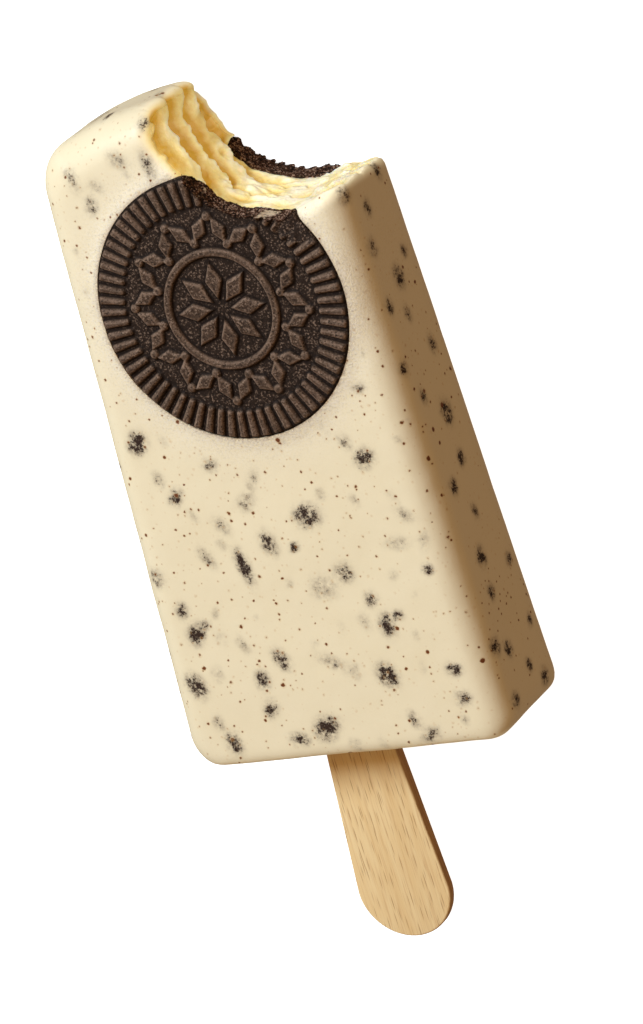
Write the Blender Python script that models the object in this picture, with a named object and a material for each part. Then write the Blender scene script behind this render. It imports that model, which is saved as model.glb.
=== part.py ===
# Bitten ice cream bar on a flat wooden stick, lying on its back.
#
# The bar's own frame, used by every function below: x across the bar, y along it
# from the stick end (y = 0) to the tip, z through it, 0 at mid-thickness, with
# the front face up. The empty bar_axis then turns the tapered bar so that its
# back face lies flat at height 0, and centres the whole on the origin.
# All sizes are in metres.
import math

import bmesh
import bpy
from mathutils import Matrix, Vector

MM = 0.001
GAP = 0.3 * MM  # air between neighbouring pieces

# body of the bar
BAR_LENGTH = 113.4 * MM
HALF_WIDTH_END = 30.5 * MM  # at the stick end
HALF_WIDTH_TIP = 26.9 * MM
HALF_THICK_END = 11.85 * MM
HALF_THICK_TIP = 10.17 * MM
TIP_RISE = 6.0 * MM  # how far the arched tip rises above its corners
TIP_CORNER = 8.2 * MM  # corner radii seen from the front
END_CORNER_LEFT = 5.6 * MM
END_CORNER_RIGHT = 4.0 * MM
SIDE_FILLET = 7.0 * MM  # edge radii seen from the end
FOOT_FILLET = 5.0 * MM  # the side edges are tighter at the stick end
FOOT_LENGTH = 25.0 * MM
TIP_FILLET = 6.0 * MM
END_FILLET = 2.0 * MM
COAT = 1.5 * MM

# bite: a round bite straight through the corner of the tip
BITE_X = 15.7 * MM
BITE_Y = 112.2 * MM
BITE_RADIUS = 18.7 * MM
BITE_HALF_HEIGHT = 16.0 * MM
BITE_SIDES = 90
BITE_LEVELS = 26
TOOTH_MARKS = (  # angle round the bite, its half width, depth
    (192.0, 14.0, 0.9 * MM),
    (236.0, 13.0, 0.6 * MM),
    (260.0, 9.0, 0.5 * MM),
    (306.0, 12.0, 1.3 * MM),
)
STRATA_PITCH = 3.4 * MM  # steps scraped one below another, front to back
STRATA_DEPTH = 0.75 * MM
BITE_LEAN = 0.05  # change of reach with height, deeper at the front in the middle

# round wafers, one in each face
WAFER_RADIUS = 22.5 * MM
WAFER_THICK = 3.6 * MM
WAFER_X = 1.06 * MM
WAFER_Y = 79.1 * MM
WAFER_PROUD = 0.25 * MM  # front wafer's field above the face
WAFER_SUNK = 0.1 * MM  # highest part of the back wafer below the face
RIDGE_COUNT = 65
RIDGE_HEIGHT = 0.5 * MM
RIDGE_INNER = 0.77  # as shares of the wafer's radius
RIDGE_OUTER = 0.965
RIDGE_RUN = 0.03
RIM_CHAMFER = 0.35 * MM
EMBOSS_HEIGHT = 0.45 * MM
EMBOSS_ROOT = 0.3 * MM  # how deep an embossed shape starts below the field
GARLAND_COUNT = 24
STAR_RAYS = 8

# stick, of the kind with a broad handle
STICK_X = -4.0 * MM
STICK_LENGTH = 94.0 * MM
STICK_SHOWS = 37.8 * MM
STICK_HALF_NECK = 6.3 * MM
STICK_HALF_HANDLE = 8.6 * MM
STICK_HALF_THICK = 1.35 * MM
HANDLE_HALF_THICK = 0.85 * MM
STICK_EDGE = 0.25 * MM

COLOURS = {  # base colour, roughness
    "coat": ((0.82, 0.70, 0.47), 0.45),
    "ice_cream": ((0.84, 0.67, 0.30), 0.5),
    "wafer": ((0.055, 0.031, 0.021), 0.8),
    "stick": ((0.66, 0.43, 0.21), 0.6),
}


def clear_scene():
    for item in list(bpy.data.objects):
        bpy.data.objects.remove(item, do_unlink=True)


def material(name):
    colour, roughness = COLOURS[name]
    made = bpy.data.materials.new(name)
    made.use_nodes = True
    shader = made.node_tree.nodes["Principled BSDF"]
    shader.inputs["Base Color"].default_value = (*colour, 1.0)
    shader.inputs["Roughness"].default_value = roughness
    shader.inputs["Metallic"].default_value = 0.0
    return made


def finish_object(name, bm, surface=None):
    bmesh.ops.recalc_face_normals(bm, faces=bm.faces)
    mesh = bpy.data.meshes.new(name)
    bm.to_mesh(mesh)
    bm.free()
    made = bpy.data.objects.new(name, mesh)
    bpy.context.scene.collection.objects.link(made)
    if surface:
        mesh.materials.append(surface)
    return made


def as_cutter(item):
    item.hide_render = True
    item.display_type = "WIRE"
    return item


def cut(item, cutters):
    for cutter in cutters:
        step = item.modifiers.new("cut_" + cutter.name, "BOOLEAN")
        step.operation = "DIFFERENCE"
        step.solver = "EXACT"
        step.object = cutter


def apply_modifiers(item):
    view = bpy.context.evaluated_depsgraph_get()
    mesh = bpy.data.meshes.new_from_object(item.evaluated_get(view))
    item.modifiers.clear()
    item.data = mesh


def smooth_step(share):
    return share * share * (3.0 - 2.0 * share)


def half_thickness(y):
    return HALF_THICK_END + (HALF_THICK_TIP - HALF_THICK_END) * y / BAR_LENGTH


# ---- body of the bar ----


def arc(centre, radius, start, stop, steps):
    points = []
    for i in range(steps + 1):
        angle = math.radians(start + (stop - start) * i / steps)
        points.append(centre + radius * Vector((math.cos(angle), math.sin(angle))))
    return points


def rounded_corner(first, corner, last, radius, steps):
    # arc of the radius between two straight stretches that meet at the corner
    a = (first - corner).normalized()
    b = (last - corner).normalized()
    half = a.angle(b) / 2
    centre = corner + (a + b).normalized() * radius / math.sin(half)
    foot_a = corner + a * radius / math.tan(half)
    foot_b = corner + b * radius / math.tan(half)
    start = math.degrees(math.atan2(*(foot_a - centre).yx))
    stop = math.degrees(math.atan2(*(foot_b - centre).yx))
    if stop < start:
        stop += 360.0
    return arc(centre, radius, start, stop, steps)


def half_outline(side, tip, end, tip_corner, end_corner, steps):
    # right half of the plan outline, from the middle of the stick end to the
    # middle of the tip, pulled in by the three distances given
    edge = Vector((HALF_WIDTH_END - side, end))
    shoulder_y = BAR_LENGTH - TIP_RISE - tip
    shoulder = Vector((HALF_WIDTH_TIP - side, shoulder_y))
    crown = Vector((0.0, BAR_LENGTH - tip))
    bulge = (shoulder.x**2 + TIP_RISE**2) / (2 * TIP_RISE)  # radius of the arched tip
    low = rounded_corner(Vector((0.0, end)), edge, shoulder, end_corner, steps)
    near = Vector((shoulder.x * 0.5, 0.0))
    near.y = crown.y - bulge + math.sqrt(bulge**2 - near.x**2)
    high = rounded_corner(edge, shoulder, near, tip_corner, steps)
    outline = [(0.0, end)]
    outline += [(p.x, p.y) for p in low]
    for i in range(1, 4):
        p = low[-1].lerp(high[0], i / 4)
        outline.append((p.x, p.y))
    outline += [(p.x, p.y) for p in high]
    last = high[-1]
    lift = last.y - (crown.y - bulge + math.sqrt(bulge**2 - last.x**2))
    for i in range(1, steps + 1):
        x = last.x * (1 - i / steps)
        y = crown.y - bulge + math.sqrt(bulge**2 - x**2)
        outline.append((x, y + lift * (1 - i / steps) ** 2))
    return outline


def full_outline(side, tip, end, tip_corner, shrink, steps):
    # shrink is what the end corners' radii lose
    right_corner = max(END_CORNER_RIGHT - shrink, 1.0 * MM)
    left_corner = max(END_CORNER_LEFT - shrink, 1.0 * MM)
    right = half_outline(side, tip, end, tip_corner, right_corner, steps)
    left = half_outline(side, tip, end, tip_corner, left_corner, steps)
    return right + [(-x, y) for x, y in reversed(left[1:-1])]


def side_fillet(y):
    return FOOT_FILLET + (SIDE_FILLET - FOOT_FILLET) * smooth_step(min(y / FOOT_LENGTH, 1.0))


def fillet_height(index, count, steps, inset, y):
    # edge radius at a point of the outline, blended round the corners
    half = count // 2
    index = min(index, count - index)
    side = side_fillet(y) - inset
    tip = TIP_FILLET - inset
    end = max(END_FILLET - inset, 0.4 * MM)
    if index <= 1:
        return end
    if index <= steps + 1:
        return end + (side - end) * smooth_step((index - 1) / steps)
    if index >= half - steps:
        return tip
    return side


def bar_body(name, inset, steps, rings, surface=None):
    # closed rounded body; inset draws the whole surface in, as for the core
    least = 0.4 * MM
    end_inset = max(END_FILLET, inset + least)
    outer = full_outline(inset, inset, inset, TIP_CORNER - inset, inset, steps)
    inner = full_outline(
        SIDE_FILLET, TIP_FILLET, end_inset, TIP_CORNER * 0.5, END_FILLET, steps,
    )
    count = len(outer)
    bm = bmesh.new()
    loops = []
    for level in range(2 * (rings + 1)):
        top = level > rings
        turn = (2 * rings + 1 - level if top else level) / rings * math.pi / 2
        loop = []
        for i in range(count):
            share = 1 - math.sin(turn)
            x = outer[i][0] + (inner[i][0] - outer[i][0]) * share
            y = outer[i][1] + (inner[i][1] - outer[i][1]) * share
            drop = fillet_height(i, count, steps, inset, outer[i][1]) * (1 - math.cos(turn))
            z = half_thickness(y) - inset - drop
            loop.append(bm.verts.new((x, y, z if top else -z)))
        loops.append(loop)
    for low, high in zip(loops, loops[1:]):
        for i in range(count):
            j = (i + 1) % count
            bm.faces.new((low[i], low[j], high[j], high[i]))
    bm.faces.new(loops[0])
    bm.faces.new(loops[-1])
    return finish_object(name, bm, surface)


# ---- bite ----


def bite_reach(angle, z):
    # radius of the bitten wall at an angle in degrees and a height
    reach = BITE_RADIUS
    for centre, width, depth in TOOTH_MARKS:
        reach += depth * math.exp(-((angle - centre) / width) ** 2)
    reach += BITE_LEAN * math.cos(math.radians((angle - 247.0) * 3.3)) * z
    swing = 0.9 * math.sin(math.radians(angle * 2.3)) + 0.5 * math.sin(math.radians(angle * 5.1))
    phase = (z / STRATA_PITCH + swing) % 1.0
    step = phase / 0.7 if phase < 0.7 else (1.0 - phase) / 0.3
    nibble = 0.25 * math.sin(math.radians(angle * 17.0) + z / MM)
    return reach + STRATA_DEPTH * (step - 0.5 + nibble * step)


def bite_cutter():
    bm = bmesh.new()
    bmesh.ops.create_cone(
        bm, cap_ends=True, segments=BITE_SIDES,
        radius1=BITE_RADIUS, radius2=BITE_RADIUS, depth=2 * BITE_HALF_HEIGHT,
    )
    upright = [e for e in bm.edges if abs(e.verts[0].co.z - e.verts[1].co.z) > BITE_HALF_HEIGHT]
    bmesh.ops.subdivide_edges(bm, edges=upright, cuts=BITE_LEVELS - 1, use_grid_fill=True)
    for vert in bm.verts:
        angle = math.degrees(math.atan2(vert.co.y, vert.co.x)) % 360.0
        reach = bite_reach(angle, vert.co.z)
        flat = Vector((vert.co.x, vert.co.y, 0.0)).normalized() * reach
        vert.co = Vector((BITE_X + flat.x, BITE_Y + flat.y, vert.co.z))
    bmesh.ops.triangulate(bm, faces=bm.faces)
    return as_cutter(finish_object("cut_bite", bm))


# ---- wafers ----


def polar(radius, angle, z):
    return Vector((radius * math.cos(angle), radius * math.sin(angle), z))


def wafer_disc():
    # field, ridged band and rim; z = 0 is the field, the disc hangs below it
    points = RIDGE_COUNT * 3
    ridge = (0.0, RIDGE_HEIGHT, RIDGE_HEIGHT)
    profile = (
        (RIDGE_INNER, 0.0),
        (RIDGE_INNER + RIDGE_RUN, 1.0),
        (RIDGE_OUTER - RIDGE_RUN, 1.0),
        (RIDGE_OUTER, 0.0),
    )
    bm = bmesh.new()
    rings = []
    for share, lifted in profile:
        ring = []
        for i in range(points):
            z = ridge[i % 3] * lifted
            ring.append(bm.verts.new(polar(WAFER_RADIUS * share, math.tau * i / points, z)))
        rings.append(ring)
    for low, high in zip(rings, rings[1:]):
        for i in range(points):
            j = (i + 1) % points
            bm.faces.new((low[i], low[j], high[j], high[i]))
    bm.faces.new(rings[0])
    under = (
        (WAFER_RADIUS, -RIM_CHAMFER),
        (WAFER_RADIUS, RIM_CHAMFER - WAFER_THICK),
        (WAFER_RADIUS - RIM_CHAMFER, -WAFER_THICK),
    )
    skirts = []
    for radius, z in under:
        skirt = []
        for i in range(RIDGE_COUNT):
            skirt.append(bm.verts.new(polar(radius, math.tau * i / RIDGE_COUNT, z)))
        skirts.append(skirt)
    for i in range(RIDGE_COUNT):  # three rim points over each skirt point
        j = (i + 1) % RIDGE_COUNT
        rim = [rings[-1][(3 * i + k) % points] for k in range(4)]
        bm.faces.new((rim[0], rim[1], skirts[0][i]))
        bm.faces.new((rim[1], rim[2], skirts[0][j], skirts[0][i]))
        bm.faces.new((rim[2], rim[3], skirts[0][j]))
    for low, high in zip(skirts, skirts[1:]):
        for i in range(RIDGE_COUNT):
            j = (i + 1) % RIDGE_COUNT
            bm.faces.new((low[i], low[j], high[j], high[i]))
    bm.faces.new(skirts[-1])
    bmesh.ops.triangulate(bm, faces=[f for f in bm.faces if len(f.verts) == 4])
    return bm


def raised_shape(name, sides, length, width, share, angle, turn):
    # low flat-topped pyramid standing on the wafer's field
    bm = bmesh.new()
    height = EMBOSS_HEIGHT + EMBOSS_ROOT
    bmesh.ops.create_cone(
        bm, cap_ends=True, segments=sides, radius1=0.5, radius2=0.24, depth=height,
    )
    bmesh.ops.scale(bm, vec=(length, width, 1.0), verts=bm.verts)
    bmesh.ops.rotate(bm, matrix=Matrix.Rotation(angle + turn, 3, "Z"), verts=bm.verts)
    place = polar(WAFER_RADIUS * share, angle, height / 2 - EMBOSS_ROOT)
    bmesh.ops.translate(bm, vec=place, verts=bm.verts)
    return finish_object(name, bm)


def raised_ring(name, share, width):
    # low round ridge, its section a trapezium
    bm = bmesh.new()
    middle = WAFER_RADIUS * share
    section = (
        (middle - width * 0.5, -EMBOSS_ROOT),
        (middle - width * 0.2, EMBOSS_HEIGHT),
        (middle + width * 0.2, EMBOSS_HEIGHT),
        (middle + width * 0.5, -EMBOSS_ROOT),
    )
    verts = [bm.verts.new((radius, 0.0, z)) for radius, z in section]
    edges = [bm.edges.new((verts[i], verts[(i + 1) % 4])) for i in range(4)]
    bmesh.ops.spin(
        bm, geom=verts + edges, cent=(0, 0, 0), axis=(0, 0, 1),
        angle=math.tau, steps=40, use_merge=True,
    )
    return finish_object(name, bm)


def emboss_shapes():
    # medallion with an eight-rayed star, and a zigzag garland with beads round it
    shapes = [raised_ring("medallion", 0.43, 1.5 * MM)]
    for i in range(STAR_RAYS):
        angle = math.tau * i / STAR_RAYS
        shapes.append(raised_shape("ray", 4, 6.0 * MM, 2.3 * MM, 0.215, angle, 0.0))
    for i in range(GARLAND_COUNT):
        angle = math.tau * i / GARLAND_COUNT
        tilt = math.radians(34.0 if i % 2 else -34.0)
        shapes.append(raised_shape("leaf", 4, 4.6 * MM, 1.7 * MM, 0.605, angle, tilt))
        bead = angle + math.pi / GARLAND_COUNT
        share = 0.70 if i % 2 else 0.51
        shapes.append(raised_shape("bead", 6, 1.5 * MM, 1.5 * MM, share, bead, 0.0))
    return shapes


def wafer(name, surface, place):
    made = finish_object(name, wafer_disc(), surface)
    group = bpy.data.collections.new(name + "_emboss")
    bpy.context.scene.collection.children.link(group)
    for shape in emboss_shapes():
        bpy.context.scene.collection.objects.unlink(shape)
        group.objects.link(shape)
    join = made.modifiers.new("emboss", "BOOLEAN")
    join.operation = "UNION"
    join.solver = "EXACT"
    join.operand_type = "COLLECTION"
    join.collection = group
    apply_modifiers(made)
    for shape in list(group.objects):
        bpy.data.objects.remove(shape, do_unlink=True)
    bpy.data.collections.remove(group)
    made.data.transform(place)
    return made


def pocket_cutter(name, place):
    # round pocket that leaves the gap round and below a wafer
    bm = bmesh.new()
    bmesh.ops.create_cone(
        bm, cap_ends=True, segments=96,
        radius1=WAFER_RADIUS + GAP, radius2=WAFER_RADIUS + GAP, depth=2 * WAFER_THICK,
    )
    bmesh.ops.translate(bm, vec=(0.0, 0.0, -GAP), verts=bm.verts)
    made = finish_object(name, bm)
    made.data.transform(place)
    return as_cutter(made)


def wafer_places():
    # matrices that set the wafers parallel to the two tapered faces
    slope = math.atan((HALF_THICK_END - HALF_THICK_TIP) / BAR_LENGTH)
    height = half_thickness(WAFER_Y)
    front = Matrix.Translation((WAFER_X, WAFER_Y, height + WAFER_PROUD))
    front = front @ Matrix.Rotation(-slope, 4, "X")
    back_height = height - WAFER_SUNK - max(RIDGE_HEIGHT, EMBOSS_HEIGHT)
    back = Matrix.Translation((WAFER_X, WAFER_Y, -back_height))
    back = back @ Matrix.Rotation(slope + math.pi, 4, "X")
    return front, back


# ---- stick ----


def stick_half_width(y):
    # narrow in the bar, broadening evenly along the part that shows
    share = min(max(-y / (STICK_SHOWS - STICK_HALF_HANDLE), 0.0), 1.0)
    return STICK_HALF_NECK + (STICK_HALF_HANDLE - STICK_HALF_NECK) * share


def stick_outline(clear):
    # handle's round end, right edge, the hidden round end, left edge
    handle = Vector((0.0, STICK_HALF_HANDLE - STICK_SHOWS))
    hidden = Vector((0.0, STICK_LENGTH - STICK_SHOWS - STICK_HALF_NECK))
    outline = arc(handle, STICK_HALF_HANDLE + clear, 180.0, 360.0, 24)
    for i in range(1, 4):
        y = handle.y * (1 - i / 4)
        outline.append(Vector((stick_half_width(y) + clear, y)))
    outline.append(Vector((STICK_HALF_NECK + clear, 0.0)))
    outline += arc(hidden, STICK_HALF_NECK + clear, 0.0, 180.0, 12)
    outline.append(Vector((-STICK_HALF_NECK - clear, 0.0)))
    for i in range(3, 0, -1):
        y = handle.y * (1 - i / 4)
        outline.append(Vector((-stick_half_width(y) - clear, y)))
    return outline


def stick_body(name, clear, surface=None):
    bm = bmesh.new()
    half = STICK_HALF_THICK + clear
    ring = [bm.verts.new((STICK_X + p.x, p.y, -half)) for p in stick_outline(clear)]
    face = bm.faces.new(ring)
    grown = bmesh.ops.extrude_face_region(bm, geom=[face])
    top = [v for v in grown["geom"] if isinstance(v, bmesh.types.BMVert)]
    bmesh.ops.translate(bm, vec=(0.0, 0.0, 2 * half), verts=top)
    if clear == 0:
        for vert in bm.verts:  # the handle thins towards its end
            share = min(max(-vert.co.y / STICK_SHOWS, 0.0), 1.0)
            vert.co.z *= 1 - (1 - HANDLE_HALF_THICK / STICK_HALF_THICK) * share
        rims = [e for e in bm.edges if e.verts[0].co.z * e.verts[1].co.z > 0]
        bmesh.ops.bevel(
            bm, geom=rims, offset=STICK_EDGE, segments=1, profile=0.5,
            affect="EDGES", material=-1,
        )
    return finish_object(name, bm, surface)


# ---- assembly ----


def lay_down(items):
    # turn the bar so that its back face is level, then centre it on the origin
    slope = math.atan((HALF_THICK_END - HALF_THICK_TIP) / BAR_LENGTH)
    axis = bpy.data.objects.new("bar_axis", None)
    bpy.context.scene.collection.objects.link(axis)
    axis.rotation_euler = (-slope, 0.0, 0.0)
    axis.location = (0.0, 0.0, HALF_THICK_END * math.cos(slope))
    for item in items:
        item.parent = axis
    bpy.context.view_layer.update()
    view = bpy.context.evaluated_depsgraph_get()
    reach = []
    for item in items:
        if item.hide_render:
            continue
        shaped = item.evaluated_get(view)
        mesh = shaped.to_mesh()
        reach += [shaped.matrix_world @ v.co for v in mesh.vertices]
        shaped.to_mesh_clear()
    for way in (0, 1):
        places = [point[way] for point in reach]
        axis.location[way] = -(max(places) + min(places)) / 2


def build():
    clear_scene()
    bite = bite_cutter()
    slot = as_cutter(stick_body("cut_slot", GAP))
    inside = as_cutter(bar_body("cut_inside", COAT, 6, 4))
    front_place, back_place = wafer_places()
    front_pocket = pocket_cutter("cut_front_pocket", front_place)
    back_pocket = pocket_cutter("cut_back_pocket", back_place)

    coat = bar_body("coat", 0.0, 9, 6, material("coat"))
    cut(coat, (inside, front_pocket, back_pocket, slot, bite))
    core = bar_body("ice_cream", COAT + GAP, 6, 3, material("ice_cream"))
    cut(core, (front_pocket, back_pocket, slot, bite))
    cocoa = material("wafer")
    wafer_front = wafer("wafer_front", cocoa, front_place)
    wafer_back = wafer("wafer_back", cocoa, back_place)
    cut(wafer_front, (bite,))
    cut(wafer_back, (bite,))
    stick = stick_body("stick", 0.0, material("stick"))

    pieces = (coat, core, wafer_front, wafer_back, stick)
    cutters = (bite, slot, inside, front_pocket, back_pocket)
    lay_down(pieces + cutters)


build()
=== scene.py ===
import math
import random

import bmesh
import bpy
import numpy as np
from mathutils import Matrix, Vector, noise
from mathutils.bvhtree import BVHTree


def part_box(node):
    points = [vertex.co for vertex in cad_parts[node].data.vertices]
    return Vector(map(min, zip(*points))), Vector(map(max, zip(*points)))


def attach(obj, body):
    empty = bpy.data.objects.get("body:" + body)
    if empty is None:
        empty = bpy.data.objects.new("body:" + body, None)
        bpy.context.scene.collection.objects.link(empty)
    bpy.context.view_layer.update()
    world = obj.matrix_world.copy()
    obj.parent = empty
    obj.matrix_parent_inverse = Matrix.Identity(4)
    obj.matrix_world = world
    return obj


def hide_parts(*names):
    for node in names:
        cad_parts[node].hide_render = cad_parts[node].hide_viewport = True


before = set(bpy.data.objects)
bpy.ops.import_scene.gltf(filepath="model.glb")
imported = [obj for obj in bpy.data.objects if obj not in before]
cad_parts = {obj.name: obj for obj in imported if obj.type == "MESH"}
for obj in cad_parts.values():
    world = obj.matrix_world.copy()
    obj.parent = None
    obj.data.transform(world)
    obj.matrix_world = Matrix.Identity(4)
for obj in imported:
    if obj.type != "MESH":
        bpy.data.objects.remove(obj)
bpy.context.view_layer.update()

# Everything is modelled in millimetres in the bar's own frame: x across the bar,
# y along it from the stick end to the tip, z through it with the front face up.
# toWorld then lays it on its back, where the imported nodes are, in metres.

bar = {
    "length": 113.4,
    "halfWidthEnd": 30.5,
    "halfWidthTip": 26.9,
    "halfThickEnd": 11.85,
    "halfThickTip": 10.17,
    "tipRise": 6.0,  # how far the arched tip rises above its corners
    "tipCorner": 8.2,
    "endCornerLeft": 5.6,
    "endCornerRight": 4.0,
    "sideFillet": 4.8,
    "footFillet": 4.2,  # side fillet at the stick end
    "footLength": 25.0,
    "tipFillet": 6.0,
    "endFillet": 2.0,
    "coat": 1.5,
    "voxel": 0.6,  # size of the faces after remeshing
    "unevenness": 0.13,  # slow waves in the dipped surface
}

stick = {
    "x": -4.0,
    "length": 94.0,
    "shows": 37.8,
    "halfNeck": 6.3,
    "halfHandle": 8.6,
    "halfThick": 1.35,
    "handleHalfThick": 0.85,
    "edge": 0.35,
}

slope = math.atan((bar["halfThickEnd"] - bar["halfThickTip"]) / bar["length"])
stickLow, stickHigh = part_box("stick")
toWorld = Matrix.Translation((
    (stickLow.x + stickHigh.x) / 2 - stick["x"] / 1000,
    stickLow.y + stick["shows"] / 1000 * math.cos(slope),
    bar["halfThickEnd"] / 1000 * math.cos(slope),
)) @ Matrix.Rotation(-slope, 4, "X") @ Matrix.Scale(0.001, 4)


def newObject(name, bm):
    mesh = bpy.data.meshes.new(name)
    bmesh.ops.recalc_face_normals(bm, faces=bm.faces)
    bm.to_mesh(mesh)
    bm.free()
    made = bpy.data.objects.new(name, mesh)
    bpy.context.scene.collection.objects.link(made)
    return made


def applyModifiers(item):
    view = bpy.context.evaluated_depsgraph_get()
    mesh = bpy.data.meshes.new_from_object(item.evaluated_get(view))
    item.modifiers.clear()
    old = item.data
    item.data = mesh
    bpy.data.meshes.remove(old)


def boolean(item, cutter, operation="DIFFERENCE"):
    step = item.modifiers.new(cutter.name, "BOOLEAN")
    step.operation = operation
    step.solver = "MANIFOLD"
    step.object = cutter
    applyModifiers(item)


def rows(source, name):
    # an array with one row for each vertex
    found = np.empty(len(source) * 3)
    source.foreach_get(name, found)
    return found.reshape(-1, 3)


def places(item):
    return rows(item.data.vertices, "co")


def normals(item):
    return rows(item.data.vertex_normals, "vector")


def setPlaces(item, found):
    item.data.vertices.foreach_set("co", found.ravel())
    item.data.update()


def setAttributes(item, **fields):
    for name, values in fields.items():
        made = item.data.attributes.new(name, "FLOAT", "POINT")
        made.data.foreach_set("value", np.asarray(values, dtype=np.float32))


def noiseAt(found, size, seed=0.0):
    # smooth noise between about -1 and 1 with waves of the size, for rows of points
    shift = Vector((seed * 17.3, seed * 5.1, seed * 9.7))
    return np.array([noise.noise(Vector(p) / size + shift) for p in found])


def angleOf(way):
    return math.degrees(math.atan2(way.y, way.x)) % 360.0


def wave(*spot):
    return noise.noise(Vector(spot))


def smoothStep(share):
    share = np.clip(share, 0.0, 1.0)
    return share * share * (3.0 - 2.0 * share)


def ease(value, start, over):
    # one number's smooth way from 0 at the start to 1 further on; over may be negative
    return float(smoothStep((value - start) / over))


def bell(value, middle, width):
    return math.exp(-(((value - middle) / width) ** 2))


def smoothMesh(item, chosen=None):
    # three rounds over the chosen vertices, or over all
    bm = bmesh.new()
    bm.from_mesh(item.data)
    bm.verts.ensure_lookup_table()
    eased = bm.verts[:] if chosen is None else [bm.verts[i] for i in chosen]
    for _ in range(3):
        bmesh.ops.smooth_vert(
            bm, verts=eased, factor=0.5, use_axis_x=True, use_axis_y=True, use_axis_z=True,
        )
    bm.to_mesh(item.data)
    bm.free()


def spun(name, section, cuts, steps):
    # half section spun round z; cuts says how finely each of its lines is divided
    bm = bmesh.new()
    corners = [bm.verts.new((radius, 0.0, z)) for radius, z in section]
    lines = [bm.edges.new(pair) for pair in zip(corners, corners[1:])]
    for line, count in zip(lines, cuts):
        if count:
            bmesh.ops.subdivide_edges(bm, edges=[line], cuts=count)
    bmesh.ops.spin(
        bm, geom=bm.verts[:] + bm.edges[:], cent=(0, 0, 0), axis=(0, 0, 1),
        angle=math.tau, steps=steps, use_merge=True,
    )
    bmesh.ops.remove_doubles(bm, verts=bm.verts, dist=0.0005)
    return newObject(name, bm)


def tree(item):
    return BVHTree.FromPolygons(
        [v.co for v in item.data.vertices], [tuple(p.vertices) for p in item.data.polygons],
    )


def finishPiece(item, material, node, sharp):
    # last steps of every piece: to the world's metres, material and frame calls;
    # edges of more than the sharp angle stay sharp
    item.data.transform(toWorld)
    item.data.materials.clear()
    item.data.materials.append(material)
    item.data.shade_smooth()
    item.data.set_sharp_from_angle(angle=math.radians(sharp))
    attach(item, "root")
    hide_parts(node)


class Wire:
    # a shader socket that takes part in sums
    def __init__(self, paint, socket):
        self.paint = paint
        self.socket = socket

    def sum(self, operation, first, second=0.0, clamp=False):
        settings = {"operation": operation, "use_clamp": clamp}
        return self.paint.node("ShaderNodeMath", settings, {0: first, 1: second})

    def __add__(self, other):
        return self.sum("ADD", self, other)

    def __radd__(self, other):
        return self.sum("ADD", other, self)

    def __sub__(self, other):
        return self.sum("SUBTRACT", self, other)

    def __rsub__(self, other):
        return self.sum("SUBTRACT", other, self)

    def __mul__(self, other):
        return self.sum("MULTIPLY", self, other)

    def __rmul__(self, other):
        return self.sum("MULTIPLY", other, self)

    def __pow__(self, other):
        return self.sum("POWER", self, other)

    def clamped(self):
        return self.sum("ADD", self, 0.0, clamp=True)


class Paint:
    # one material: its surface shader's fixed values, and the nodes that vary it
    def __init__(self, name, fixed):
        self.material = bpy.data.materials.new(name)
        self.material.use_nodes = True
        self.tree = self.material.node_tree
        self.surface = self.tree.nodes["Principled BSDF"]
        for socket, value in fixed.items():
            self.surface.inputs[socket].default_value = value

    def node(self, kind, settings=None, sockets=None, out=0):
        made = self.tree.nodes.new(kind)
        for name, value in (settings or {}).items():
            if name == "stops":
                ramp = made.color_ramp
                while len(ramp.elements) < len(value):
                    ramp.elements.new(0.5)
                for element, (place, colour) in zip(ramp.elements, value):
                    element.position = place
                    element.color = (*colour, 1.0)
            else:
                setattr(made, name, value)
        for name, value in (sockets or {}).items():
            self.feed(made.inputs[name], value)
        return Wire(self, made.outputs[out])

    def feed(self, socket, value):
        if isinstance(value, Wire):
            self.tree.links.new(value.socket, socket)
        elif isinstance(value, tuple) and socket.type == "RGBA":
            socket.default_value = (*value, 1.0)
        else:
            socket.default_value = value

    def place(self, stretch=(1.0, 1.0, 1.0)):
        # object position in millimetres, with a pattern made longer along an axis
        spot = self.node("ShaderNodeTexCoord", out="Object")
        scale = tuple(1000.0 / s for s in stretch)
        return self.node("ShaderNodeMapping", None, {"Vector": spot, "Scale": scale})

    def noise(self, place, size, detail=2.0, roughness=0.5):
        sockets = {"Vector": place, "Scale": 1.0 / size, "Detail": detail, "Roughness": roughness}
        return self.node("ShaderNodeTexNoise", None, sockets)

    def cells(self, place, size, out="Distance"):
        return self.node("ShaderNodeTexVoronoi", None, {"Vector": place, "Scale": 1.0 / size}, out)

    def draw(self, place, size):
        # a random number for each cell
        return self.node("ShaderNodeSeparateColor", None, {0: self.cells(place, size, "Color")})

    def attribute(self, name):
        return self.node("ShaderNodeAttribute", {"attribute_name": name}, None, "Fac")

    def step(self, value, low, high):
        # 0 below low, 1 above high, smooth between
        settings = {"interpolation_type": "SMOOTHSTEP"}
        sockets = {"Value": value, "From Min": low, "From Max": high}
        return self.node("ShaderNodeMapRange", settings, sockets)

    def mix(self, factor, first, second):
        return self.node("ShaderNodeMix", {"data_type": "RGBA"}, {0: factor, 6: first, 7: second}, 2)

    def ramp(self, factor, stops):
        return self.node("ShaderNodeValToRGB", {"stops": stops}, {"Fac": factor})

    def bump(self, height, distance, under=None):
        # distance in millimetres is how far the relief rises for a height of 1
        sockets = {"Height": height, "Distance": distance / 1000, "Strength": 1.0}
        if under is not None:
            sockets["Normal"] = under
        return self.node("ShaderNodeBump", None, sockets)

    def output(self, **links):
        for name, value in links.items():
            self.feed(self.surface.inputs[name.replace("_", " ")], value)
        return self.material


view = {
    "aim": (1.76, 1.29, 12.0),  # millimetres
    "azimuth": 121.82,  # degrees
    "elevation": 54.72,
    "roll": -134.0,
    "distance": 1037.1,
    "lens": 222.96,
}


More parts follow.
